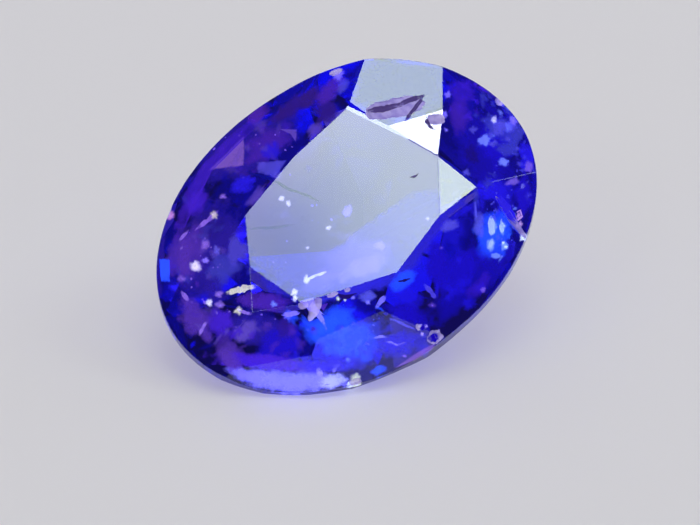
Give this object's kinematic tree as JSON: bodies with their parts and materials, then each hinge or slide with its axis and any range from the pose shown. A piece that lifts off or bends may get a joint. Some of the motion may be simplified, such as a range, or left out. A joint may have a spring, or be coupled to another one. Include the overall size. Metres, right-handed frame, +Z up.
{
  "type": "faceted oval tanzanite gemstone",
  "caption": "Clear blue-violet gemstone, hand cut as an oval with a flat table and worn, chipped facet edges, lying on a facet of its back.",
  "frame": {"origin": "middle of the stone's footprint, on the surface that it lies on", "axes": "+Z up, away from the facet it lies on; -Y towards the side that the table leans to; +X to the right of someone who faces the table"},
  "size_m": [0.0094, 0.0068, 0.0061],
  "materials": {
    "tanzanite": "polished"
  },
  "bodies": {
    "root": {"tanzanite": "tanzanite"}
  },
  "joints": []
}
